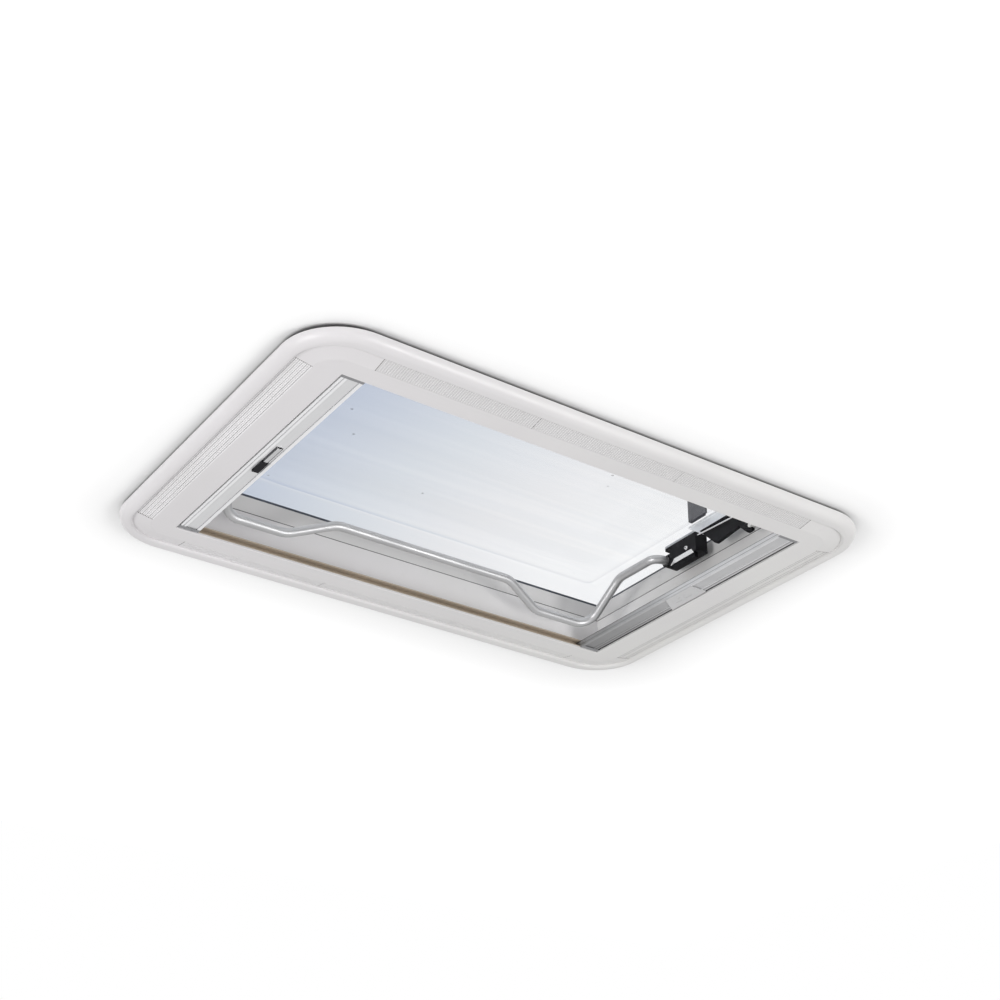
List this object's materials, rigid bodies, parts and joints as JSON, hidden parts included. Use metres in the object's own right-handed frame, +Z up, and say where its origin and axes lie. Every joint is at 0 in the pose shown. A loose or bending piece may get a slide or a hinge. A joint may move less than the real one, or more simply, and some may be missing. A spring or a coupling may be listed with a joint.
{
  "type": "caravan rooflight",
  "caption": "Rectangular caravan rooflight with a ribbed ceiling trim, a lined shaft with parked blind and flyscreen rails, and a hinged double-glazed lid opened by a bent bow.",
  "frame": {"origin": "middle of the opening, on the plane of the ceiling trim's underside", "axes": "+X along the long side, away from the blind's rail; +Y towards the side that opens; +Z up through the roof"},
  "size_m": [0.8, 0.6, 0.1243],
  "materials": {
    "trim_white": "satin moulded plastic",
    "strip_white": "fine ribs, satin",
    "lining_grey": "satin light grey",
    "frame_white": "satin",
    "seal_rubber": "matt",
    "clamp_steel": "zinc plated",
    "guide_taupe": "matt",
    "rail_aluminium": "satin anodised",
    "latch_black": "satin",
    "catch_grey": "satin",
    "blind_cloth": "pleated, reflective",
    "screen_mesh": "pleated gauze",
    "glazing": "clear acrylic",
    "bow_aluminium": "polished"
  },
  "bodies": {
    "frame": {"ceiling_trim": "trim_white", "corner_cap_near_left": "trim_white", "corner_cap_near_right": "trim_white", "corner_cap_far_left": "trim_white", "corner_cap_far_right": "trim_white", "vent_strip_near": "strip_white", "vent_strip_far": "strip_white", "vent_strip_left": "strip_white", "vent_strip_right": "strip_white", "shaft_lining": "lining_grey", "roof_frame": "frame_white", "frame_hinge_left": "frame_white", "frame_hinge_right": "frame_white", "roof_seal": "seal_rubber", "lid_gasket": "seal_rubber", "roof_clamps": "clamp_steel", "guide_channel_near": "guide_taupe", "guide_channel_far": "guide_taupe", "blind_rail": "rail_aluminium", "screen_rail": "rail_aluminium", "blind_latch": "latch_black", "screen_catch": "catch_grey", "blind_pleats": "blind_cloth", "screen_pleats": "screen_mesh"},
    "lid": {"outer_pane": "glazing", "inner_pane": "glazing", "lid_hinge_left": "frame_white", "lid_hinge_right": "frame_white", "lid_rail_left": "rail_aluminium", "lid_rail_right": "rail_aluminium", "bow_block_left": "latch_black", "bow_block_right": "latch_black", "spring_strip_left": "clamp_steel", "spring_strip_right": "clamp_steel", "latch_lever_left": "latch_black", "latch_lever_right": "latch_black", "lever_hook_left": "latch_black", "lever_hook_right": "latch_black", "pane_bracket_left": "latch_black", "pane_bracket_right": "latch_black"},
    "bow": {"bow_tube": "bow_aluminium"}
  },
  "joints": [
    {"name": "lid_hinge", "type": "hinge", "parent": "frame", "child": "lid", "pos_m": [0, -0.281, 0.0743], "axis": [1, 0, 0], "range_deg": [0, 60]},
    {"name": "bow_swing", "type": "hinge", "parent": "lid", "child": "bow", "pos_m": [0, 0.021, 0.0625], "axis": [-1, 0, 0], "range_deg": [0, 60]}
  ]
}
